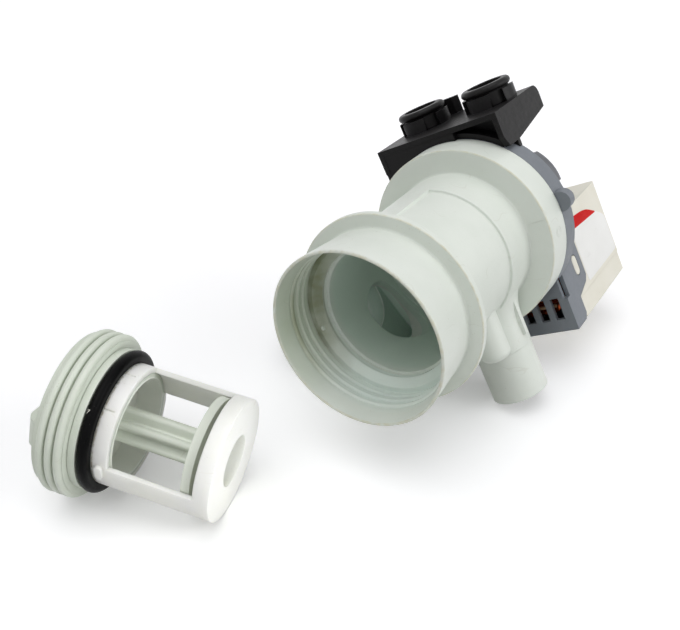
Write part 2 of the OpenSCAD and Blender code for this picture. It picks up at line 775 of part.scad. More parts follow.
module stator_stack() {
    color(steel_dark) in_pump() translate([0, 0, stack_back_z]) linear_extrude(stack_t) difference() {
        union() {
            translate([-leg_x - leg_w / 2, -yoke_bottom]) square([2 * leg_x + leg_w, yoke_h]);
            for (side = [-1, 1]) translate([side * leg_x - leg_w / 2, -yoke_bottom])
                square([leg_w, yoke_bottom]);
            intersection() {
                translate([-pole_r, 0]) square([2 * pole_r, pole_top]);
                circle(pole_r);
            }
        }
        circle(pole_bore_r);
        // The two poles don't meet above the rotor
        translate([-leg_x + leg_w / 2, -yoke_top]) square([2 * leg_x - leg_w, yoke_top + pole_r]);
    }
}

module coil_outline(grow, round) {
    rounded_square(leg_w + 2 * (fit + grow), stack_t + 2 * (fit + grow), round);
}

module bobbin(side) {
    translate([side * leg_x, -bobbin_top, stack_mid_z]) rotate([90, 0, 0]) difference() {
        union() {
            linear_extrude(bobbin_len) coil_outline(bobbin_wall, bobbin_wall);
            for (z = [0, bobbin_len - bobbin_flange_t]) translate([0, 0, z])
                linear_extrude(bobbin_flange_t) coil_outline(bobbin_wall + winding_t + fit, bobbin_wall);
        }
        translate([0, 0, -cut]) linear_extrude(bobbin_len + 2 * cut)
            square([leg_w + 2 * fit, stack_t + 2 * fit], center = true);
    }
}

module winding(side) {
    translate([side * leg_x, -bobbin_top - bobbin_flange_t, stack_mid_z]) rotate([90, 0, 0])
        linear_extrude(bobbin_len - 2 * bobbin_flange_t) difference() {
            coil_outline(bobbin_wall + winding_t, winding_t);
            coil_outline(bobbin_wall, bobbin_wall);
        }
}

module left_bobbin() { color(filter_white) in_pump() bobbin(-1); }
module right_bobbin() { color(filter_white) in_pump() bobbin(1); }
module left_winding() { color(copper_brown) in_pump() winding(-1); }
module right_winding() { color(copper_brown) in_pump() winding(1); }

// Radius of the middle of the seal between cover disc and flange, and of its cord
can_seal_r = (volute_bore_d / 2 + cover_r) / 2;
can_seal_cord = 2.4;

module rotor_can() {
    color(filter_white) in_pump() difference() {
        union() {
            translate([0, 0, cover_back_z]) cylinder(r = cover_r, h = cover_t);
            translate([0, 0, can_back_z]) cylinder(r = can_r, h = can_len + cover_back_z + cut);
        }
        translate([0, 0, can_back_z + can_t]) cylinder(r = can_bore_r, h = can_len);
        translate([0, 0, cover_front_z - can_seal_cord]) tube(2 * can_seal_r + can_seal_cord,
            2 * can_seal_r - can_seal_cord, can_seal_cord + cut);
    }
    color(filter_white) in_pump() translate([0, 0, can_back_z + can_t])
        tube(2 * can_bore_r, bearing_d, bearing_len);
}

module can_seal() {
    color(rubber_black) in_pump() translate([0, 0, cover_front_z - can_seal_cord / 2])
        rotate_extrude() translate([can_seal_r, 0]) circle(d = can_seal_cord);
}

// The plate closes the can's mouth and carries the front bearing
bearing_plate_z = cover_front_z - cover_t;

module bearing_plate() {
    color(filter_white) in_pump() translate([0, 0, bearing_plate_z - bearing_len])
        tube(2 * (can_bore_r - fit / 2), bearing_d, cover_t + bearing_len);
}

module bearing() {
    tube(bearing_d, shaft_d + 2 * run, bearing_len);
}

module front_bearing() { color(ferrite_grey) in_pump() translate([0, 0, bearing_plate_z]) bearing(); }
module rear_bearing() { color(ferrite_grey) in_pump() translate([0, 0, can_back_z + can_t]) bearing(); }

// The impeller turns in front of the cover, and its dog sits inside its hub
impeller_z = cover_front_z + bearing_len - cover_t + 2;
hub_floor = 2;
hub_h = vane_h + hub_floor;
hub_room_r = hub_d / 2 - hub_floor * 0.7;
dog_h = hub_h - 2 * hub_floor;
shaft_front_z = impeller_z + hub_h + hub_floor;
shaft_back_z = can_back_z + can_t + fit;
sleeve_back_z = can_back_z + can_t + bearing_len + rotor_gap;

module rotor_shaft() {
    color(steel_bright) in_pump() translate([0, 0, shaft_back_z])
        cylinder(d = shaft_d, h = shaft_front_z - shaft_back_z);
}

module rotor_sleeve() {
    color(foot_black) in_pump() translate([0, 0, sleeve_back_z])
        tube(sleeve_d, shaft_d, magnet_len + 2 * sleeve_over);
}

module rotor_magnet() {
    color(ferrite_grey) in_pump() translate([0, 0, sleeve_back_z + sleeve_over])
        tube(magnet_d, sleeve_d, magnet_len);
}

module drive_dog() {
    color(foot_black) in_pump() translate([0, 0, impeller_z + hub_floor + fit / 2]) {
        tube(shaft_d + hub_floor, shaft_d, dog_h - fit);
        sector(shaft_d / 2, hub_room_r - fit, dog_h - fit, dog_angle);
    }
}

module impeller() {
    color(foot_black) in_pump() translate([0, 0, impeller_z]) {
        difference() {
            cylinder(d = hub_d, h = hub_h);
            translate([0, 0, hub_floor]) cylinder(r = hub_room_r, h = dog_h);
            translate([0, 0, -cut]) cylinder(r = shaft_d / 2 + run, h = hub_h + 2 * cut);
        }
        // Stop that the dog picks up after most of a turn
        translate([0, 0, hub_floor]) rotate([0, 0, 180])
            sector(shaft_d / 2 + hub_floor, hub_room_r + fit, dog_h, dog_angle);
        difference() {
            union() {
                cylinder(d = impeller_d * 0.8, h = vane_t);
                for (i = [0 : vane_count - 1]) rotate([0, 0, i * 360 / vane_count])
                    translate([0, -vane_t / 2, 0]) cube([impeller_d / 2, vane_t, vane_h]);
            }
            translate([0, 0, -cut]) cylinder(r = (hub_d / 2 + hub_room_r) / 2, h = hub_h + 2 * cut);
        }
    }
}

module impeller_cap() {
    color(foot_black) in_pump() translate([0, 0, impeller_z + hub_h + fit]) difference() {
        cylinder(d1 = hub_d * 0.8, d2 = shaft_d + hub_floor, h = hub_floor + fit);
        translate([0, 0, -cut]) cylinder(d = shaft_d, h = hub_floor + 3 * cut);
    }
}

// The bracket's saddle hugs the shield's rim, and its wings run back under the feet
saddle_half_angle = asin((bracket_w / 2 - bracket_t) / (flange_r + bracket_t)) + 1;

module bracket_wing() {
    wing_low = flange_r * cos(saddle_half_angle);
    rotate([90, 0, 90]) linear_extrude(bracket_t) {
        polygon([
            [plate_top, -bracket_front],
            [plate_top, wing_round - bracket_rear],
            [plate_top - wing_round, -bracket_rear],
            [wing_low + 2 * bracket_t, -bracket_rear],
            [wing_low, shield_back_z],
            [wing_low, shield_front_z],
            [wing_low + 2 * bracket_t, -bracket_front],
        ]);
        translate([plate_top - wing_round, wing_round - bracket_rear]) circle(wing_round);
    }
}

module foot_bracket() {
    color(foot_black) in_pump() difference() {
        union() {
            translate([-bracket_w / 2, plate_y, wing_round - bracket_rear])
                cube([bracket_w, bracket_t, bracket_rear - wing_round - bracket_front]);
            for (x = [-bracket_w / 2, bracket_w / 2 - bracket_t]) translate([x, 0, 0]) bracket_wing();
            translate([0, 0, shield_back_z]) rotate([0, 0, 90])
                sector(flange_r, flange_r + bracket_t, shield_front_z - shield_back_z, 2 * saddle_half_angle);
            // Web between the round saddle and the flat plate, and a front apron over part of it
            translate([-bracket_w / 2, 0, shield_back_z])
                cube([bracket_w, plate_y + bracket_t / 2, bracket_t]);
            translate([fit - bracket_w / 2, 0, -bracket_front - bracket_t - fit])
                cube([bracket_w / 2 + foot_x / 2, plate_y + bracket_t / 2, bracket_t]);
            // Upstand behind the feet
            translate([-foot_x, plate_y, foot_z - foot_rim_d / 2 - 2 * bracket_t])
                cube([2 * foot_x, bracket_t + foot_h * 0.8, bracket_t]);
            for (side = [-1, 1]) translate([side * foot_x, plate_y, foot_z]) rotate([-90, 0, 0])
                cylinder(r = socket_r, h = bracket_t + foot_h * 0.6);
        }
        translate([0, 0, -motor_len]) cylinder(r = flange_r + fit, h = 2 * motor_len);
        for (side = [-1, 1]) translate([side * foot_x, 0, foot_z]) rotate([-90, 0, 0]) {
            cylinder(d = foot_groove_d + 2 * fit, h = plate_top + foot_h);
            translate([0, 0, plate_top]) cylinder(r = foot_body_r + fit, h = foot_h);
            for (turn = [45, 135]) rotate([0, 0, turn])
                translate([-foot_rim_d, -1.3 * bracket_t, plate_top])
                    cube([2 * foot_rim_d, 2.6 * bracket_t, foot_h]);
        }
    }
}

// Rubber cup with a rolled rim, buttoned through the bracket's plate
module foot(side) {
    neck_r2 = foot_groove_d / 2;
    bead = bracket_t * 0.75;
    top = plate_top + foot_h;
    translate([side * foot_x, 0, foot_z]) rotate([-90, 0, 0]) difference() {
        rotate_extrude() {
            translate([0, plate_y - bracket_t]) square([neck_r2, foot_h + 2 * bracket_t - foot_rim_r]);
            translate([0, plate_y - bracket_t]) square([neck_r2 + bead, bracket_t - fit]);
            translate([foot_bore_d / 2, top - 2 * foot_rim_r])
                square([foot_rim_r, 2 * foot_rim_r]);
            translate([foot_bore_d / 2 + foot_rim_r, top - foot_rim_r]) circle(foot_rim_r);
            foot_wall();
        }
        translate([0, 0, top - foot_bore_depth]) cylinder(d = foot_bore_d, h = foot_bore_depth + cut);
    }
}

// Wall under the rolled rim, standing on the bracket's plate
module foot_wall() {
    translate([foot_bore_d / 2, plate_top + fit])
        square([foot_body_r - foot_bore_d / 2, foot_h - foot_rim_r - fit]);
}

module left_foot() { color(rubber_black) in_pump() foot(-1); }
module right_foot() { color(rubber_black) in_pump() foot(1); }

// Half section of the cap, from the dished front to the neck inside the cage
module cap_section() {
    root_r = thread_r - thread_h;
    neck_r2 = cage_in_r - fit;
    translate([0, -thread_pitch / 2]) square([root_r, thread_len + thread_pitch / 2]);
    for (i = [0 : thread_rings - 1])
        translate([thread_r - crest_r, (i + 0.5) * thread_pitch]) circle(crest_r);
    translate([0, thread_len - cut]) square([land_d / 2 - land_len / 2, land_len + fit + cut]);
    translate([0, land_z]) square([land_d / 2, land_len]);
    translate([0, seal_z - cut]) square([seal_d / 2 - seal_cord - fit, seal_cord + cut + fit]);
    translate([0, cage_z - cut]) square([neck_r2, cage_collar + cut]);
}

module filter_cap() {
    dish_r = thread_r - 3 * thread_h;
    dish_depth = thread_len - thread_pitch;
    color(housing_white) in_filter(cap_spin) {
        difference() {
            rotate_extrude() cap_section();
            // Dish around the grip, and hollow neck on the cage's side
            translate([0, 0, -thread_pitch])
                cylinder(r1 = dish_r, r2 = dish_r - thread_h, h = dish_depth + thread_pitch / 2);
            translate([0, 0, seal_z]) cylinder(r = cage_in_r - fit - cage_t, h = cage_len);
            translate([0, 0, land_z]) cylinder(d = core_d * 0.6, h = cage_len);
        }
        // Grip bar across the dish
        rotate([90, 0, 0]) linear_extrude(grip_t, center = true) difference() {
            translate([0, (dish_depth - grip_h) / 2])
                rounded_square(grip_len, grip_h + dish_depth, grip_t / 2);
            translate([-grip_len, dish_depth]) square([2 * grip_len, grip_h]);
        }
    }
}

module filter_core() {
    rib_r = core_rib_t / 2;
    color(housing_white) in_filter(cap_spin) {
        translate([0, 0, seal_z]) linear_extrude(core_disc_z - seal_z + fit) {
            for (i = [1 : core_ribs]) rotate([0, 0, i * 180 / core_ribs]) slot_2d(core_rib_t, core_d);
            circle(core_d / 4);
        }
        translate([0, 0, core_disc_z]) cylinder(r = cage_in_r - 2 * fit, h = core_disc_t);
        translate([0, 0, core_disc_z]) cylinder(d = core_d * 0.6, h = core_disc_t + core_disc_gap + rib_r);
        translate([0, 0, land_z + fit]) cylinder(d = core_d * 0.6 - fit, h = land_len);
    }
}

module filter_seal() {
    color(rubber_black) in_filter(0) translate([0, 0, seal_z]) rotate_extrude()
        translate([seal_d / 2 - seal_cord / 2, (seal_cord + fit) / 2]) {
            translate([-seal_cord / 2, -seal_cord / 2]) square([seal_cord / 2, seal_cord]);
            circle(d = seal_cord);
        }
}

module filter_cage() {
    cage_r = cage_d / 2;
    window_len = cage_len - cage_collar - cage_end;
    color(filter_white) in_filter(cage_spin) translate([0, 0, cage_z]) {
        difference() {
            tube(cage_d, 2 * cage_in_r, cage_collar);
            for (turn = [60, 100, 240, 280]) rotate([0, 0, turn])
                translate([cage_r - slit_depth, -slit_w / 2, -cut])
                    cube([slit_depth + cut, slit_w, cage_collar * 0.7 + cut]);
        }
        for (turn = [-bar_angle * 0.4, 180 - bar_angle * 0.4]) rotate([0, 0, turn])
            translate([cage_r - cage_t / 2, 0, cage_collar / 2]) rotate([0, 90, 0])
                linear_extrude(cage_t / 2 + clip_r / 2) slot_2d(1.4 * clip_r, 3 * clip_r);
        translate([0, 0, cage_collar + window_len]) tube(cage_d, 2 * cage_in_r, cage_end);
        translate([0, 0, cage_len - cage_t]) tube(2 * cage_in_r + cage_t, cage_hole_d, cage_t);
        translate([0, 0, cage_len - cage_hole_len])
            tube(cage_hole_d + 1.5 * cage_t, cage_hole_d, cage_hole_len - cage_t / 2);
        intersection() {
            tube(cage_d, 2 * cage_in_r, cage_len);
            for (turn = [0, 180]) rotate([0, 0, turn]) sector(cut, cage_r + cut, cage_len, bar_angle);
        }
    }
}

pump_housing();
motor_shield();
coil_housing();
stator_stack();
left_bobbin();
right_bobbin();
left_winding();
right_winding();
terminal_blades();
rotor_can();
can_seal();
bearing_plate();
front_bearing();
rear_bearing();
rotor_shaft();
rotor_sleeve();
rotor_magnet();
drive_dog();
impeller();
impeller_cap();
foot_bracket();
left_foot();
right_foot();
filter_cap();
filter_core();
filter_seal();
filter_cage();
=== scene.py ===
"""Drain pump of a washing machine with its lint filter taken out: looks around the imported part."""
import math

import bmesh
import bpy
from mathutils import Matrix, Vector


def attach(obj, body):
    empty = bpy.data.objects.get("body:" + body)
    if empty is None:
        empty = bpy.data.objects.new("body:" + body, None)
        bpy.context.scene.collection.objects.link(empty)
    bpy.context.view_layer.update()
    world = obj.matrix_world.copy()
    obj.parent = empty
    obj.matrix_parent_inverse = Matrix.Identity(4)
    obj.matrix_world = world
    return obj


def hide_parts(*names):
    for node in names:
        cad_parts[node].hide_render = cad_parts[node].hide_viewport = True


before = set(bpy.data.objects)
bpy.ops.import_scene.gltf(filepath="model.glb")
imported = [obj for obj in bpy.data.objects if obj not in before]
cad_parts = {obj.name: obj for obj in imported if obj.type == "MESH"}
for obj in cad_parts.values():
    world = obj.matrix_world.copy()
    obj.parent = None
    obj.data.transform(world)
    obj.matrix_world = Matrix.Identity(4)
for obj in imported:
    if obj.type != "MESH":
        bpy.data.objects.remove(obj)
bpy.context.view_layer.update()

scene = bpy.context.scene
scene.view_settings.view_transform = "Standard"
MM, PER_METRE = 0.001, 1000

# ---------------------------------------------------------------- camera, in metres
EYE = Vector((0.164682, -0.278908, 0.246430))
RIGHT = Vector((0.84950, 0.52759, -0.00170))
DOWN = Vector((0.27997, -0.45353, -0.84613))
FORWARD = Vector((-0.44718, 0.71830, -0.53298))
FOCAL_PX, WIDTH_PX, SENSOR_MM = 900, 680, 36

cam_data = bpy.data.cameras.new("camera")
cam_data.sensor_fit = "HORIZONTAL"
cam_data.sensor_width = SENSOR_MM
cam_data.lens = SENSOR_MM * FOCAL_PX / WIDTH_PX
cam_data.clip_start = 0.01
cam = bpy.data.objects.new("camera", cam_data)
scene.collection.objects.link(cam)
cam_turn = Matrix((RIGHT, -DOWN, -FORWARD)).transposed().to_4x4()
cam.matrix_world = Matrix.Translation(EYE) @ cam_turn
scene.camera = cam

# ---------------------------------------------------------------- frames of the part, in metres
LEAN = math.radians(28.222333)
DUCT_TURN = math.radians(180 + 17.339)
FILTER_YAW = math.radians(14.4)
FILTER_DIP = math.radians(90 + 8.808948)
# z along the shaft, from the flange's face to the mouth
PUMP = (Matrix.Translation((0.0255, 0.0447, 0.0638710)) @ Matrix.Rotation(-LEAN, 4, "Y")
        @ Matrix.Rotation(math.pi / 2, 4, "X"))
# x out along the tub inlet
DUCT = PUMP @ Matrix.Rotation(DUCT_TURN, 4, "Z")
# z along the filter, from the cap's thread to the cage
FILTER = (Matrix.Translation((-0.0631, -0.1004, 0.0331775))
          @ Matrix.Rotation(FILTER_YAW, 4, "Z") @ Matrix.Rotation(FILTER_DIP, 4, "Y"))


def srgb(r, g, b):
    def lin(c):
        c /= 255
        return c / 12.92 if c <= 0.04045 else ((c + 0.055) / 1.055) ** 2.4
    return (lin(r), lin(g), lin(b), 1)


# ---------------------------------------------------------------- materials
# Sockets of a Mix node for colours
MIX_FAC, MIX_A, MIX_B, MIX_OUT = 0, 6, 7, 2
BEVEL_SAMPLES = 6
# In metres
EDGE_RADIUS, METAL_EDGE_RADIUS = 0.0004, 0.0002
SCRATCH_DEPTH, RUBBER_DEPTH, BRUSH_DEPTH = 0.00002, 0.00003, 0.000015
# How far the three colours travel below the surface, as parts of the reach
SOFT_RADIUS = (1.0, 1.0, 0.95)
RUBBER_LINT = (104, 102, 98)


class Shader:
    """A node material, built from small calls."""

    def __init__(self, name, rough, spec):
        self.mat = bpy.data.materials.new(name)
        self.mat.use_nodes = True
        self.tree = self.mat.node_tree
        self.bsdf = self.tree.nodes["Principled BSDF"]
        self.bsdf.inputs["Specular IOR Level"].default_value = spec
        self.bsdf.inputs["Roughness"].default_value = rough
        self.coord = self.add("ShaderNodeTexCoord").outputs["Object"]

    def add(self, kind, **values):
        node = self.tree.nodes.new(kind)
        for key, value in values.items():
            setattr(node, key, value)
        return node

    def link(self, a, b):
        self.tree.links.new(a, b)

    def feed(self, socket, value):
        """Links a socket to the value's socket, or sets its constant."""
        if hasattr(value, "links"):
            self.link(value, socket)
        else:
            socket.default_value = value

    def noise(self, scale, detail, rough, stretch=None):
        node = self.add("ShaderNodeTexNoise")
        node.inputs["Scale"].default_value = scale
        node.inputs["Detail"].default_value = detail
        node.inputs["Roughness"].default_value = rough
        source = self.coord
        if stretch:
            mapping = self.add("ShaderNodeMapping")
            mapping.inputs["Scale"].default_value = stretch
            self.link(self.coord, mapping.inputs["Vector"])
            source = mapping.outputs["Vector"]
        self.link(source, node.inputs["Vector"])
        return node.outputs["Fac"]

    def ramp(self, fac, low, high, a=0.0, b=1.0):
        """From a at low to b at high, and held beyond them. Low may be the greater."""
        node = self.add("ShaderNodeMapRange")
        node.inputs["From Min"].default_value = low
        node.inputs["From Max"].default_value = high
        node.inputs["To Min"].default_value = a
        node.inputs["To Max"].default_value = b
        self.link(fac, node.inputs["Value"])
        return node.outputs["Result"]

    def mix(self, fac, a, b):
        node = self.add("ShaderNodeMix", data_type="RGBA")
        for key, value in ((MIX_FAC, fac), (MIX_A, a), (MIX_B, b)):
            self.feed(node.inputs[key], value)
        return node.outputs[MIX_OUT]

    def math(self, op, a, b=0.0):
        node = self.add("ShaderNodeMath", operation=op)
        for key, value in enumerate((a, b)):
            self.feed(node.inputs[key], value)
        return node.outputs[0]

    def times(self, first, *others):
        for other in others:
            first = self.math("MULTIPLY", first, other)
        return first

    def length(self, a, b):
        return self.math("SQRT", self.math("ADD", self.times(a, a), self.times(b, b)))

    def band(self, value, low, high, soft):
        """1 between low and high, falling to 0 over soft on each side."""
        return self.times(self.ramp(value, low - soft, low), self.ramp(value, high + soft, high))

    def stain_and_painted_light(self, body, mask, tint, noise, span, amount):
        """Tints the body where the mask is 1, by an amount that follows the noise over its span. It lays
        real stains, and also painted light and shade.
        """
        strength = self.times(mask, self.ramp(noise, *span, *amount))
        return self.mix(strength, body, srgb(*tint))

    def local(self, place):
        """x, y, z and the distance from z, in mm, in a frame of the part."""
        back = place.inverted()
        node = self.add("ShaderNodeMapping")
        node.inputs["Location"].default_value = back.translation * PER_METRE
        node.inputs["Rotation"].default_value = back.to_euler("XYZ")
        node.inputs["Scale"].default_value = (PER_METRE, PER_METRE, PER_METRE)
        self.link(self.coord, node.inputs["Vector"])
        parts = self.add("ShaderNodeSeparateXYZ")
        self.link(node.outputs["Vector"], parts.inputs["Vector"])
        x, y, z = tuple(parts.outputs)
        return x, y, z, self.length(x, y)

    def hairs(self, scale, thin, stretch):
        """Thin broken scratches: short stretches of the contour lines of a noise."""
        contour = self.math("SUBTRACT", self.noise(scale, 1, 0.4, stretch), 0.5)
        line = self.ramp(self.math("ABSOLUTE", contour), thin, thin * 0.4)
        breaks = self.ramp(self.noise(scale * 1.7, 1, 0.4), 0.60, 0.66)
        return self.times(line, breaks)

    def bump(self, heights, edge):
        """Chains heights [(socket, depth)] into the normal, over a soft edge. Both are in metres."""
        last = None
        if edge:
            bevel = self.add("ShaderNodeBevel", samples=BEVEL_SAMPLES)
            bevel.inputs["Radius"].default_value = edge
            last = bevel.outputs["Normal"]
        for socket, depth in heights:
            node = self.add("ShaderNodeBump")
            node.inputs["Strength"].default_value = 1.0
            node.inputs["Distance"].default_value = depth
            self.link(socket, node.inputs["Height"])
            if last:
                self.link(last, node.inputs["Normal"])
            last = node.outputs["Normal"]
        self.link(last, self.bsdf.inputs["Normal"])

    def color(self, socket):
        self.link(socket, self.bsdf.inputs["Base Color"])

    def rough(self, socket):
        self.link(socket, self.bsdf.inputs["Roughness"])


def moulded(name, base, shade, speck, rough, spec, grain=0.000012, edge=EDGE_RADIUS, soft=0.0,
            reach=0.0035, marks=None):
    """Moulded plastic: cloudy colour, a few tiny specks, scratches, fine grain and faint waves.
    Soft lets light in, as far as reach. Grain, edge and reach are in metres."""
    s = Shader(name, rough, spec)
    cloud = s.noise(38, 4, 0.55)
    fine = s.noise(420, 3, 0.6)
    hair = s.hairs(55, 0.008, (1, 1, 2.5))
    body = s.mix(s.ramp(cloud, 0.34, 0.68), srgb(*base), srgb(*shade))
    specks = s.ramp(s.noise(1500, 1.0, 0.4), 0.74, 0.79)
    body = s.mix(s.times(specks, 0.35), body, srgb(*speck))
    body = s.mix(s.times(hair, 0.16), body, srgb(*speck))
    if marks:
        body = marks(s, body)
    s.color(body)
    s.rough(s.ramp(fine, 0.3, 0.7, rough - 0.06, rough + 0.07))
    grains, waves = s.noise(2600, 2, 0.6), s.noise(150, 2, 0.5)
    s.bump([(grains, grain), (waves, grain * 4), (hair, -SCRATCH_DEPTH)], edge)
    if soft:
        s.bsdf.inputs["Subsurface Weight"].default_value = soft
        s.bsdf.inputs["Subsurface Radius"].default_value = SOFT_RADIUS
        s.bsdf.inputs["Subsurface Scale"].default_value = reach
    return s.mat


def rubber(name, base, dust, rough, spec):
    """Dark rubber with a cloud of dust and some lint."""
    s = Shader(name, rough, spec)
    cloud = s.noise(120, 4, 0.6)
    lint = s.ramp(s.noise(900, 2, 0.55), 0.68, 0.76)
    amount = s.times(lint, 0.2)
    body = s.mix(s.ramp(cloud, 0.35, 0.7), srgb(*base), srgb(*dust))
    s.color(s.mix(amount, body, srgb(*RUBBER_LINT)))
    s.rough(s.ramp(cloud, 0.3, 0.7, rough - 0.1, rough + 0.1))
    s.bump([(s.noise(1500, 3, 0.6), RUBBER_DEPTH)], EDGE_RADIUS)
    return s.mat


def metal(name, base, shade, rough, brush=(1, 1, 40)):
    """Brushed metal."""
    s = Shader(name, rough, 0.5)
    s.bsdf.inputs["Metallic"].default_value = 1.0
    line = s.noise(60, 3, 0.6, brush)
    s.color(s.mix(s.ramp(line, 0.3, 0.7), srgb(*base), srgb(*shade)))
    s.rough(s.ramp(line, 0.3, 0.7, rough - 0.08, rough + 0.1))
    s.bump([(line, BRUSH_DEPTH)], METAL_EDGE_RADIUS)
    return s.mat


# An even tint goes over this span of the noise, between these amounts; it serves a film and also painted
# light and shade
EVEN, FILM_AND_PAINTED_LIGHT = (0.2, 0.8), (0.8, 1.0)
# Middle of the tub inlet's spigot, across the duct
SPIGOT_V, SPIGOT_W = -8.4, 24.0
# The mouth's left side in the photo lies along (-LEFT_X, LEFT_Y)
LEFT_X, LEFT_Y = 0.866, 0.5
# Radius that the mouth's flare gains per mm of height
FLARE_SLOPE = 0.094


def housing_stains_and_painted_light(s, body):
    """A yellowish tint on the front edges; tints of the inner walls: a greenish film on the mouth's
    wall, painted light that makes the inlet duct paler, painted shade that darkens the tub inlet's bore,
    a film darkened by painted shade in the chamber, partly grime and partly painted shade on the left of
    the flare; and the brown stains behind the thread.
    Bounds are in mm: z and r in the pump's frame, u, v and w in the duct's."""
    x, y, z, r = s.local(PUMP)
    patch = s.noise(300, 4, 0.65)
    broad = s.noise(70, 3, 0.5)

    lip = s.times(s.ramp(z, 89.8, 90.2), s.ramp(z, 91.5, 91.0))
    collar = s.times(s.band(z, 65.1, 66.0, 0.2), s.ramp(r, 39.2, 39.6))
    flange = s.times(s.band(z, -0.6, 0.3, 0.2), s.ramp(r, 41.3, 41.7))
    edges = s.math("MAXIMUM", lip, s.math("MAXIMUM", collar, flange))
    body = s.stain_and_painted_light(body, edges, (208, 201, 168), patch, (0.36, 0.68), (0.08, 0.6))

    u, v, w, _ = s.local(DUCT)
    # Painted light: the inside of the inlet duct is painted paler and greener than the body.
    duct = s.times(s.band(u, 30.8, 49.6, 0.2), s.band(v, -28.9, 23.5, 0.2), s.band(w, 2.4, 46.0, 0.2))
    spigot = s.length(s.math("SUBTRACT", v, SPIGOT_V), s.math("SUBTRACT", w, SPIGOT_W))
    body = s.stain_and_painted_light(body, duct, (234, 252, 241), patch, EVEN, FILM_AND_PAINTED_LIGHT)
    # Painted shade: the bore of the tub inlet's spigot is painted darker.
    inlet = s.times(s.ramp(u, 49.7, 50.1), s.ramp(u, 63.0, 57.0), s.ramp(spigot, 19.2, 18.9))
    body = s.stain_and_painted_light(body, inlet, (182, 208, 192), patch, EVEN, FILM_AND_PAINTED_LIGHT)

    across = s.math("SUBTRACT", s.times(y, LEFT_Y), s.times(x, LEFT_X))
    wall = s.times(s.ramp(r, 34.3, 34.0), s.ramp(z, 85.0, 79.0), s.ramp(z, 65.6, 66.2),
                   s.ramp(across, 26.0, 2.0))
    body = s.stain_and_painted_light(body, wall, (227, 239, 233), patch, EVEN, (0.6, 0.9))
    # The left side of the flare below the lip is painted darker: partly grime, partly painted shade.
    within = s.ramp(s.math("SUBTRACT", r, s.times(z, FLARE_SLOPE)), 27.28, 27.08)
    flare = s.times(within, s.band(z, 72.0, 89.6, 0.6), s.ramp(across, 12.0, 32.0))
    body = s.stain_and_painted_light(body, flare, (194, 203, 184), broad, (0.25, 0.75), (0.6, 1.0))
    # The chamber is painted a darker green: partly a film, partly painted shade.
    chamber = s.times(s.ramp(r, 30.4, 30.1), s.ramp(z, 66.4, 60.0))
    body = s.stain_and_painted_light(body, chamber, (212, 226, 216), patch, EVEN, FILM_AND_PAINTED_LIGHT)

    left = s.ramp(across, 11.0, 29.0)
    shoulder = s.times(s.band(z, 67.4, 71.0, 1.2), s.band(r, 28.1, 33.2, 0.3), left)
    body = s.stain_and_painted_light(body, shoulder, (116, 123, 86), broad, (0.3, 0.62), (0.5, 1.0))
    groove = s.times(s.band(z, 80.6, 82.0, 0.9), s.band(r, 32.4, 34.2, 0.3), left, left)
    return s.stain_and_painted_light(body, groove, (138, 142, 108), broad, (0.3, 0.6), (0.2, 0.65))


def cage_marks(s, body):
    """Brown line of old lint at the cage's end ring, beside the cap's shoulder."""
    _, _, z, _ = s.local(FILTER)
    patch = s.noise(500, 4, 0.65)
    line = s.times(s.band(z, 17.5, 18.5, 0.35), s.ramp(patch, 0.40, 0.6))
    return s.mix(s.times(line, 0.6), body, srgb(150, 126, 94))


def cap_painted_light(s, body):
    """Painted light: the inside of the cap, where the sleeve is thin, is painted paler, as though lit
    through it.
    """
    _, _, z, r = s.local(FILTER)
    inside = s.times(s.ramp(r, 20.4, 19.9), s.ramp(z, 13.2, 13.5))
    return s.stain_and_painted_light(body, inside, (250, 252, 246), s.noise(200, 3, 0.5), EVEN, FILM_AND_PAINTED_LIGHT)


# Each has its colour, a shade of it, the colour of its specks, its roughness and its shine
housing_mat = moulded("housing_plastic", (228, 233, 226), (221, 227, 219), (184, 182, 166),
                      0.40, 0.42, soft=0.12, marks=housing_stains_and_painted_light)
cap_mat = moulded("cap_plastic", (219, 225, 214), (211, 218, 205), (172, 170, 146),
                  0.42, 0.36, soft=0.12, marks=cap_painted_light)
core_mat = moulded("core_plastic", (224, 229, 219), (217, 223, 211), (178, 174, 150),
                   0.42, 0.40, soft=0.3, reach=0.0015)
cage_mat = moulded("cage_plastic", (252, 253, 243), (248, 250, 237), (206, 194, 170),
                   0.38, 0.42, soft=1.0, reach=0.0030, marks=cage_marks)
shield_mat = moulded("shield_plastic", (126, 131, 138), (118, 123, 130), (150, 153, 157), 0.50, 0.34)
cream_mat = moulded("coil_plastic", (238, 235, 223), (232, 229, 215), (205, 196, 170),
                    0.46, 0.38, soft=0.08)
black_mat = moulded("bracket_plastic", (25, 24, 25), (19, 18, 19), (54, 52, 51),
                    0.38, 0.16, grain=0.00002)
inner_mat = moulded("inner_plastic", (228, 226, 218), (218, 216, 208), (180, 176, 160), 0.45, 0.4)
bobbin_mat = moulded("bobbin_nylon", (196, 168, 136), (176, 144, 110), (140, 104, 74), 0.45, 0.3)
sleeve_mat = moulded("sleeve_plastic", (48, 48, 50), (40, 40, 42), (80, 80, 80), 0.45, 0.3)
foot_mat = rubber("foot_rubber", (18, 17, 18), (26, 25, 25), 0.38, 0.16)
seal_mat = rubber("seal_rubber", (7, 7, 8), (12, 12, 13), 0.36, 0.05)
steel_mat = metal("stator_steel", (120, 122, 126), (92, 94, 98), 0.4, (1, 40, 1))
bright_mat = metal("bright_steel", (196, 198, 202), (176, 178, 182), 0.25)
copper_mat = metal("copper_wire", (176, 84, 46), (128, 56, 30), 0.34)
ferrite_mat = moulded("ferrite", (66, 66, 70), (54, 54, 58), (96, 96, 98), 0.5, 0.3, grain=0.00003)
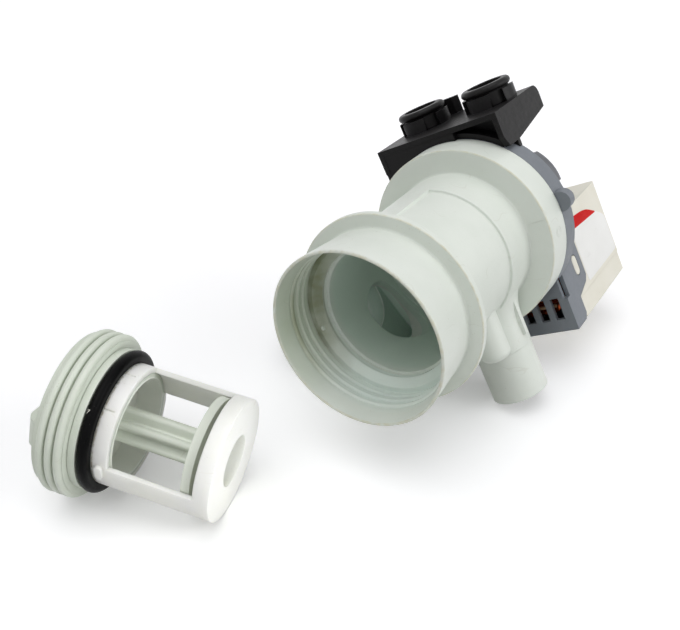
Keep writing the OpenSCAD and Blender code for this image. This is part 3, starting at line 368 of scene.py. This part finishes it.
paper_mat = moulded("label_paper", (245, 245, 243), (238, 238, 235), (214, 212, 206),
                    0.36, 0.45, grain=0.000006, edge=0.0)
red_mat = moulded("label_red", (212, 17, 13), (198, 14, 11), (220, 60, 52),
                  0.36, 0.04, grain=0.000006, edge=0.0)
lint_mat = moulded("lint", (226, 224, 216), (212, 209, 200), (180, 176, 166), 0.8, 0.1, edge=0.0)

LOOKS = {
    "pump_housing": housing_mat, "motor_shield": shield_mat, "coil_housing": cream_mat,
    "stator_stack": steel_mat, "left_bobbin": bobbin_mat, "right_bobbin": bobbin_mat,
    "left_winding": copper_mat, "right_winding": copper_mat, "terminal_blades": bright_mat,
    "rotor_can": inner_mat, "can_seal": seal_mat, "bearing_plate": inner_mat,
    "front_bearing": ferrite_mat, "rear_bearing": ferrite_mat, "rotor_shaft": bright_mat,
    "rotor_sleeve": sleeve_mat, "rotor_magnet": ferrite_mat, "drive_dog": sleeve_mat,
    "impeller": sleeve_mat, "impeller_cap": sleeve_mat, "foot_bracket": black_mat,
    "left_foot": foot_mat, "right_foot": foot_mat, "filter_cap": cap_mat,
    "filter_core": core_mat, "filter_seal": seal_mat, "filter_cage": cage_mat,
}
for node_name, mat in LOOKS.items():
    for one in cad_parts[node_name].material_slots:
        one.material = mat

# ---------------------------------------------------------------- pieces, in mm in a frame of the part
CREASE = math.radians(40)


def skin(rings, closed):
    """Points and faces of a tube through rings of equal length, with its ends joined or capped."""
    n = len(rings[0])
    points = [p for ring in rings for p in ring]
    faces = []
    count = len(rings)
    for i in range(count if closed else count - 1):
        a, b = i * n, ((i + 1) % count) * n
        for k in range(n):
            j = (k + 1) % n
            faces.append((a + k, a + j, b + j, b + k))
    if not closed:
        faces.append(tuple(range(n))[::-1])
        faces.append(tuple(range((count - 1) * n, count * n)))
    return points, faces


def piece(name, rings, place, mat, body, closed=False):
    """A mesh piece through rings of points in a frame of the part. It rides on a body."""
    points, faces = skin(rings, closed)
    mesh = bpy.data.meshes.new(name)
    mesh.from_pydata([place @ (Vector(p) * MM) for p in points], [], faces)
    mesh.update()
    bm = bmesh.new()
    bm.from_mesh(mesh)
    bmesh.ops.recalc_face_normals(bm, faces=bm.faces)
    bm.to_mesh(mesh)
    bm.free()
    mesh.materials.append(mat)
    mesh.shade_smooth()
    mesh.set_sharp_from_angle(angle=CREASE)
    obj = bpy.data.objects.new(name, mesh)
    scene.collection.objects.link(obj)
    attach(obj, body)
    return obj


def on_housing(name, rings, place=PUMP, mat=housing_mat, closed=False):
    piece(name, rings, place, mat, "pump", closed)


def at(r, deg, z):
    a = math.radians(deg)
    return (r * math.cos(a), r * math.sin(a), z)


def line(start, run, steps):
    """Points of a straight line from start, in equal steps."""
    return [tuple(s + d * i / steps for s, d in zip(start, run)) for i in range(steps + 1)]


def curve(knots, steps=6):
    """Points of a smooth curve through the knots."""
    points = []
    ends = [knots[0]] + knots + [knots[-1]]
    for i in range(1, len(knots)):
        p0, p1, p2, p3 = (Vector(q) for q in ends[i - 1:i + 3])
        for k in range(steps):
            t = k / steps
            points.append(tuple(0.5 * (2 * p1 + (p2 - p0) * t + (2 * p0 - 5 * p1 + 4 * p2 - p3) * t * t
                                       + (3 * p1 - p0 - 3 * p2 + p3) * t ** 3)))
    return points + [tuple(knots[-1])]


# Round tops, as (part of the width, part of the height). BELOW is the foot, sunk in the wall
BELOW = -1
RIDGE_TOP = ((-0.5, BELOW), (-0.5, 0.0), (-0.36, 0.55), (-0.2, 0.9), (0, 1.0), (0.2, 0.9),
             (0.36, 0.55), (0.5, 0.0), (0.5, BELOW))
BEAD_TOP = ((-0.5, BELOW), (-0.45, 0.35), (-0.22, 0.85), (0, 1), (0.22, 0.85), (0.45, 0.35),
            (0.5, BELOW))
RIDGE_SINK = 0.3


def ridge(radius, start, sweep, z0, rise, width, height, steps, fade=0.12):
    """Rings of a round-topped ridge inside a wall of radius(z), from start over sweep degrees.
    It runs from z0 along rise, and both ends fade into the wall over that part of its length."""
    rings = []
    for i in range(steps + 1):
        f = i / steps
        e = min(1.0, f / fade, (1 - f) / fade)
        e = max(e, 0.02) ** 0.5
        deg, z = start + sweep * f, z0 + rise * f
        ring = []
        for u, h in RIDGE_TOP:
            zz = z + u * width * (0.4 + 0.6 * e)
            up = -RIDGE_SINK if h == BELOW else h * height * e
            ring.append(at(radius(zz) - up, deg, zz))
        rings.append(ring)
    return rings


def bead(path, across, up, width, height, sink=0.2, fade=0.15):
    """Rings of a low round-topped bead along points of a surface, given its two directions at each."""
    rings = []
    last = len(path) - 1
    for i, p in enumerate(path):
        e = max(0.05, min(1.0, i / last / fade, (1 - i / last) / fade)) ** 0.5
        ring = []
        for u, h in BEAD_TOP:
            rise = -sink if h == BELOW else h * height * e
            ring.append(Vector(p) + Vector(across(p)) * (u * width * e) + Vector(up(p)) * rise)
        rings.append(ring)
    return rings


def always(direction):
    return lambda p: direction


def outward(p):
    return Vector((p[0], p[1], 0)).normalized()


# The mouth's inner wall, by height: chamber, seat, its lead-in, thread and the flare to the lip
CHAMBER_R, SEAT_R, THREAD_R, LEAD_R = 27.2, 28.3, 33.1, 33.6
SEAT_Z, SEAT_LEAD_Z, THREAD_Z, LEAD_Z = 65, 68.2, 71, 83.4
THREAD_LEN, THREAD_GAIN = 12.4, 0.5
LEAD_LEN, LEAD_GAIN = 7, 1.6


def bore(z):
    """Radius of the mouth's inner wall at height z of the pump's frame."""
    if z > LEAD_Z:
        return LEAD_R + LEAD_GAIN * (z - LEAD_Z) / LEAD_LEN
    if z > THREAD_Z:
        return THREAD_R + THREAD_GAIN * (z - THREAD_Z) / THREAD_LEN
    if z > SEAT_LEAD_Z:
        return SEAT_R + (z - SEAT_LEAD_Z)
    return SEAT_R if z > SEAT_Z else CHAMBER_R


# Thread inside the mouth, one ridge of nearly three turns, and the fine beads of seat and chamber
on_housing("mouth_thread", ridge(bore, start=60, sweep=980, z0=82.6, rise=-9.53, width=1.8,
                                 height=0.9, steps=300))
on_housing("seat_bead", ridge(lambda z: SEAT_R, start=50, sweep=350, z0=67.8, rise=0, width=0.9,
                              height=0.32, steps=140, fade=0.05))
on_housing("chamber_bead", ridge(lambda z: CHAMBER_R, start=60, sweep=183, z0=64.55, rise=0, width=0.8,
                                 height=0.3, steps=90, fade=0.06))

# Small peg on the seat's lead-in: a rounded block that narrows and leans towards its top
PEG_X, PEG_Z, PEG_TALL, PEG_LEAN = -30.6, 68.9, 2.1, 0.5
PEG_HALF_X, PEG_HALF_Y, PEG_ROUND = 0.85, 1.3, 0.6
PEG_TAPER, PEG_TOP = 0.35, 0.55
PEG_STEPS, PEG_SIDES = 8, 16
peg = []
for i in range(PEG_STEPS + 1):
    t = i / PEG_STEPS
    wide = (1 - PEG_TAPER * t ** 2) * (1 if i < PEG_STEPS else PEG_TOP)
    ring = []
    for k in range(PEG_SIDES):
        a = 2 * math.pi * k / PEG_SIDES
        c, q = (math.copysign(abs(w) ** PEG_ROUND, w) for w in (math.cos(a), math.sin(a)))
        ring.append((PEG_X + PEG_HALF_X * wide * q + PEG_LEAN * t, PEG_HALF_Y * wide * c,
                     PEG_Z + PEG_TALL * t))
    peg.append(ring)
on_housing("seat_peg", peg, mat=core_mat)

# Weld line on the flange's face
weld = line((33.6, 1.05, 0.0), (7.2, 0.3, 0.0), 12)
on_housing("flange_weld_line", bead(weld, always((0, 1, 0)), always((0, 0, 1)), 0.55, 0.14))

# Two ring marks, one in the other, on the flange's rim
FLANGE_R, MARK_DEG, MARK_Z, MARK_STEPS = 42.0, -9.8, -7.3, 40
RIM_MM_PER_DEG, RIM_DEG_PER_MM = 0.733, 1.364
MARK_WIDTH, MARK_HEIGHT, NO_FADE = 0.34, 0.12, 1e-6


def from_mark(p):
    """Direction on the rim, away from the middle of the marks."""
    a = math.atan2(p[1], p[0])
    away = Vector((0, math.degrees(a) - MARK_DEG, (p[2] - MARK_Z) / RIM_DEG_PER_MM)).normalized()
    return Vector((-math.sin(a), math.cos(a), 0)) * away.y + Vector((0, 0, 1)) * away.z


for name, radius in (("mould_mark_ring", 2.3), ("mould_mark_inner", 1.2)):
    circle = []
    for i in range(MARK_STEPS):
        a = 2 * math.pi * i / MARK_STEPS
        circle.append(at(FLANGE_R, MARK_DEG + radius * math.cos(a) / RIM_MM_PER_DEG,
                         MARK_Z + radius * math.sin(a)))
    rings = bead(circle + circle[:1], from_mark, outward, MARK_WIDTH, MARK_HEIGHT, fade=NO_FADE)
    on_housing(name, rings[:-1], closed=True)

# Stiffening ribs on the two open faces of the inlet duct, three on each
DUCT_TOP, DUCT_FRONT = -31.3, 48.0
RIB_WIDTH, RIB_HEIGHT, RIB_FADE, RIB_STEPS = 1.4, 0.9, 0.06, 24
ribs = [(line((u, DUCT_TOP, 5.0), (0, 0, 38.0), RIB_STEPS), (1, 0, 0), (0, -1, 0))
        for u in (34.0, 40.0, 46.0)]
ribs += [(line((36.0, v, DUCT_FRONT), (14.0, 0, 0), RIB_STEPS), (0, 1, 0), (0, 0, 1))
         for v in (-21.0, -9.0, 3.0)]
for number, (path, across, up) in enumerate(ribs, 1):
    rings = bead(path, always(across), always(up), RIB_WIDTH, RIB_HEIGHT, fade=RIB_FADE)
    on_housing("duct_rib_%d" % number, rings, place=DUCT)

# Copper windings: a block with round corners for each bobbin, ribbed so that every turn is seen
COIL_X, COIL_Z, COIL_HALF_X, COIL_HALF_Z, COIL_DEEP = 14.0, -46.25, 10.5, 23.25, 3.6
COIL_TOP, COIL_LOW, COIL_TURNS = -18.85, -45.45, 30
CORNER_STEPS, CORNER_DEG = 6, 18
# Depths below the coil's face, and the gap at its inside
TURN_ROOT, TURN_FLANK, TURN_CREST, COIL_GAP = 0.42, 0.12, 0.01, 0.05


def winding(name, node, side):
    corners = []
    for cx, cz, first in ((1, 1, 0), (-1, 1, 90), (-1, -1, 180), (1, -1, 270)):
        for i in range(CORNER_STEPS):
            a = math.radians(first + CORNER_DEG * i)
            corners.append((cx * (COIL_HALF_X - COIL_DEEP), cz * (COIL_HALF_Z - COIL_DEEP),
                            math.cos(a), math.sin(a)))
    profile = []
    pitch = (COIL_TOP - COIL_LOW) / COIL_TURNS
    for i in range(COIL_TURNS):
        y = COIL_LOW + pitch * i
        profile += [(COIL_DEEP - TURN_ROOT, y + 0.02), (COIL_DEEP - TURN_FLANK, y + pitch * 0.2),
                    (COIL_DEEP - TURN_CREST, y + pitch * 0.5), (COIL_DEEP - TURN_FLANK, y + pitch * 0.8)]
    profile += [(COIL_DEEP - TURN_ROOT, COIL_TOP), (COIL_GAP, COIL_TOP), (COIL_GAP, COIL_LOW)]
    rings = [[(side * COIL_X + bx + off * ca, y, COIL_Z + bz + off * sa) for off, y in profile]
             for bx, bz, ca, sa in corners]
    obj = piece(name, rings, PUMP, copper_mat, "pump", closed=True)
    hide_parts(node)


winding("left_winding_turns", "left_winding", -1)
winding("right_winding_turns", "right_winding", 1)


def tube(path, radius, sides=12):
    """Rings of a round wire along points."""
    rings = []
    across = Vector((0, 0, 1))
    for i, p in enumerate(path):
        run = (Vector(path[min(i + 1, len(path) - 1)]) - Vector(path[max(i - 1, 0)])).normalized()
        across = (across - run * across.dot(run)).normalized()
        other = run.cross(across)
        rings.append([Vector(p) + (across * math.cos(a) + other * math.sin(a)) * radius
                      for a in [2 * math.pi * k / sides for k in range(sides)]])
    return rings


# The wire that joins the two windings runs under the bobbins, behind the vents
JOIN_R = 1.2
left_half = [(-21.0, -45.2, -23.4), (-21.2, -46.4, -22.4), (-19.0, -48.2, -23.0), (-9.0, -48.6, -23.4)]
right_half = [(-x, y, z) for x, y, z in left_half[::-1]]
join = curve(left_half + [(0.0, -49.0, -23.6)] + right_half)
piece("winding_join_wire", tube(join, JOIN_R), PUMP, copper_mat, "pump")

# Blank label on the coil housing's side, with a plain red band along its upper edge
LABEL_X, LABEL_T, BAND_X, BAND_T = 28.3, 0.10, 28.4, 0.04
PLATE_SINK, PLATE_CROWN, PLATE_INSET = 0.03, 0.01, 0.02
LABEL_Z, BAND_END_Z = -44.5, -75.5
BAND_Y, BAND_SLOPE, BAND_STEP, BAND_STEPS = -20.1, 0.082, 3.0, 10
CORNER_Y, CORNER_Z, CORNER_R, CORNER_PARTS = -44.0, -82.0, 1.6, 8


def plate(name, outline, x, thick, mat):
    """A thin plate on the side at x, from a closed outline of (y, z)."""
    n = len(outline)
    cy = sum(p[0] for p in outline) / n
    cz = sum(p[1] for p in outline) / n
    back = [(x - PLATE_SINK, y, z) for y, z in outline]
    front = [(x + thick, y, z) for y, z in outline]
    crown = [(x + thick + PLATE_CROWN, y + (cy - y) * PLATE_INSET, z + (cz - z) * PLATE_INSET)
             for y, z in outline]
    piece(name, [back, front, crown], PUMP, mat, "pump")


top_edge = curve([(-14.6, LABEL_Z), (-15.6, -53.9), (-16.6, -61.2), (-18.1, -66.8), (-20.4, -71.6),
                  (-22.9, -76.3), (-25.4, -80.6)])
rear_edge = [(-27.6, -83.3), (-29.0, -83.6)]
corner = []
for i in range(CORNER_PARTS + 1):
    a = math.pi / (2 * CORNER_PARTS) * i
    corner.append((CORNER_Y - CORNER_R * math.sin(a), CORNER_Z - CORNER_R * math.cos(a)))
front_edge = [(-45.6, -46.0), (-45.2, -44.8), (-44.4, LABEL_Z)]
band_top = [q for q in top_edge if q[1] > BAND_END_Z]
band_low = [(BAND_Y - BAND_SLOPE * BAND_STEP * i, LABEL_Z - BAND_STEP * i)
            for i in range(BAND_STEPS + 1)]
plate("coil_label", top_edge + rear_edge + corner + front_edge, LABEL_X, LABEL_T, paper_mat)
plate("coil_label_band", band_top + band_low[::-1], BAND_X, BAND_T, red_mat)

# A thread of lint on the seal ring
SEAL_R, LINT_DEG, LINT_Z, LINT_STEPS = 28.06, -134.0, 14.5, 24
lint = []
for i in range(LINT_STEPS + 1):
    t = i / LINT_STEPS
    deg = LINT_DEG - 4.6 * t - 1.6 * math.sin(math.pi * t * 1.6)
    lint.append(at(SEAL_R, deg, LINT_Z + 0.9 * t + 0.5 * math.sin(math.pi * t * 2.0)))
rings = bead(lint, always((0, 0, 1)), outward, width=0.26, height=0.16, sink=0.05, fade=0.1)
piece("seal_lint", rings, FILTER, lint_mat, "filter_cap")

# ---------------------------------------------------------------- floor, world and lamps, in metres
FLOOR_HALF, FLOOR_Z = 4, -0.00005
# The floor and the world are brighter where they are seen than in the light that they give back
FLOOR_GIVES, FLOOR_SEEN, FLOOR_GLOW = (0.62, 0.62, 0.61, 1), (0.94, 0.94, 0.96, 1), 0.23
WORLD_GIVES, WORLD_SEEN = 0.33, 1.0


def seen_ray(tree):
    """1 for rays from the camera, and for those that a glossy or clear surface sends on."""
    path = tree.nodes.new("ShaderNodeLightPath")
    last = path.outputs["Is Camera Ray"]
    for kind in ("Is Glossy Ray", "Is Transmission Ray"):
        node = tree.nodes.new("ShaderNodeMath")
        node.operation = "MAXIMUM"
        tree.links.new(last, node.inputs[0])
        tree.links.new(path.outputs[kind], node.inputs[1])
        last = node.outputs[0]
    return last


floor_mesh = bpy.data.meshes.new("floor")
floor_mesh.from_pydata([(sx * FLOOR_HALF, sy * FLOOR_HALF, FLOOR_Z)
                        for sx, sy in ((-1, -1), (1, -1), (1, 1), (-1, 1))], [], [(0, 1, 2, 3)])
floor = bpy.data.objects.new("floor", floor_mesh)
scene.collection.objects.link(floor)
floor_mat = bpy.data.materials.new("floor_white")
floor_mat.use_nodes = True
floor_tree = floor_mat.node_tree
floor_tree.nodes.remove(floor_tree.nodes["Principled BSDF"])
shown = seen_ray(floor_tree)
matte = floor_tree.nodes.new("ShaderNodeBsdfDiffuse")
tone = floor_tree.nodes.new("ShaderNodeMix")
tone.data_type = "RGBA"
tone.inputs[MIX_A].default_value = FLOOR_GIVES
tone.inputs[MIX_B].default_value = FLOOR_SEEN
glow = floor_tree.nodes.new("ShaderNodeEmission")
strength = floor_tree.nodes.new("ShaderNodeMath")
strength.operation = "MULTIPLY"
strength.inputs[1].default_value = FLOOR_GLOW
both = floor_tree.nodes.new("ShaderNodeAddShader")
surface = floor_tree.nodes["Material Output"].inputs["Surface"]
for source, target in ((shown, tone.inputs[MIX_FAC]), (tone.outputs[MIX_OUT], matte.inputs["Color"]),
                       (shown, strength.inputs[0]), (strength.outputs[0], glow.inputs["Strength"]),
                       (matte.outputs[0], both.inputs[0]), (glow.outputs[0], both.inputs[1]),
                       (both.outputs[0], surface)):
    floor_tree.links.new(source, target)
floor_mesh.materials.append(floor_mat)

world = bpy.data.worlds.new("studio")
scene.world = world
world.use_nodes = True
world_tree = world.node_tree
backdrop = world_tree.nodes["Background"]
level = world_tree.nodes.new("ShaderNodeMapRange")
level.inputs["To Min"].default_value = WORLD_GIVES
level.inputs["To Max"].default_value = WORLD_SEEN
world_tree.links.new(seen_ray(world_tree), level.inputs["Value"])
world_tree.links.new(level.outputs["Result"], backdrop.inputs["Strength"])
backdrop.inputs["Color"].default_value = (1, 1, 1, 1)


def lamp(name, kind, energy, place, aim):
    """A lamp at a place that shines along aim."""
    data = bpy.data.lights.new(name, kind)
    data.energy = energy
    obj = bpy.data.objects.new(name, data)
    scene.collection.objects.link(obj)
    obj.matrix_world = Matrix.Translation(place) @ aim.to_track_quat("-Z", "Y").to_matrix().to_4x4()
    return obj


# Two wide soft lamps far off, each with the direction it shines from, its strength and its width
SUN_FAR = 2
for name, toward, energy, angle in (("key", (-0.05, -0.25, 1.0), 1.44, 60),
                                    ("side", (0.88, 0.24, 0.40), 0.98, 40)):
    sun = lamp(name, "SUN", energy, Vector(toward) * SUN_FAR, -Vector(toward))
    sun.data.angle = math.radians(angle)

# A white card beside the filter, which throws light back on the end of its cage
CARD, CARD_AIM = Vector((0.120, -0.125, 0.030)), Vector((0.000, -0.092, 0.030))
CARD_ENERGY, CARD_SIZE, CARD_SPREAD = 0.0064, 0.06, math.radians(36)
card = lamp("card", "AREA", CARD_ENERGY, CARD, CARD_AIM - CARD)
card.data.size = CARD_SIZE
card.data.spread = CARD_SPREAD
card.visible_camera = False
card.visible_glossy = False
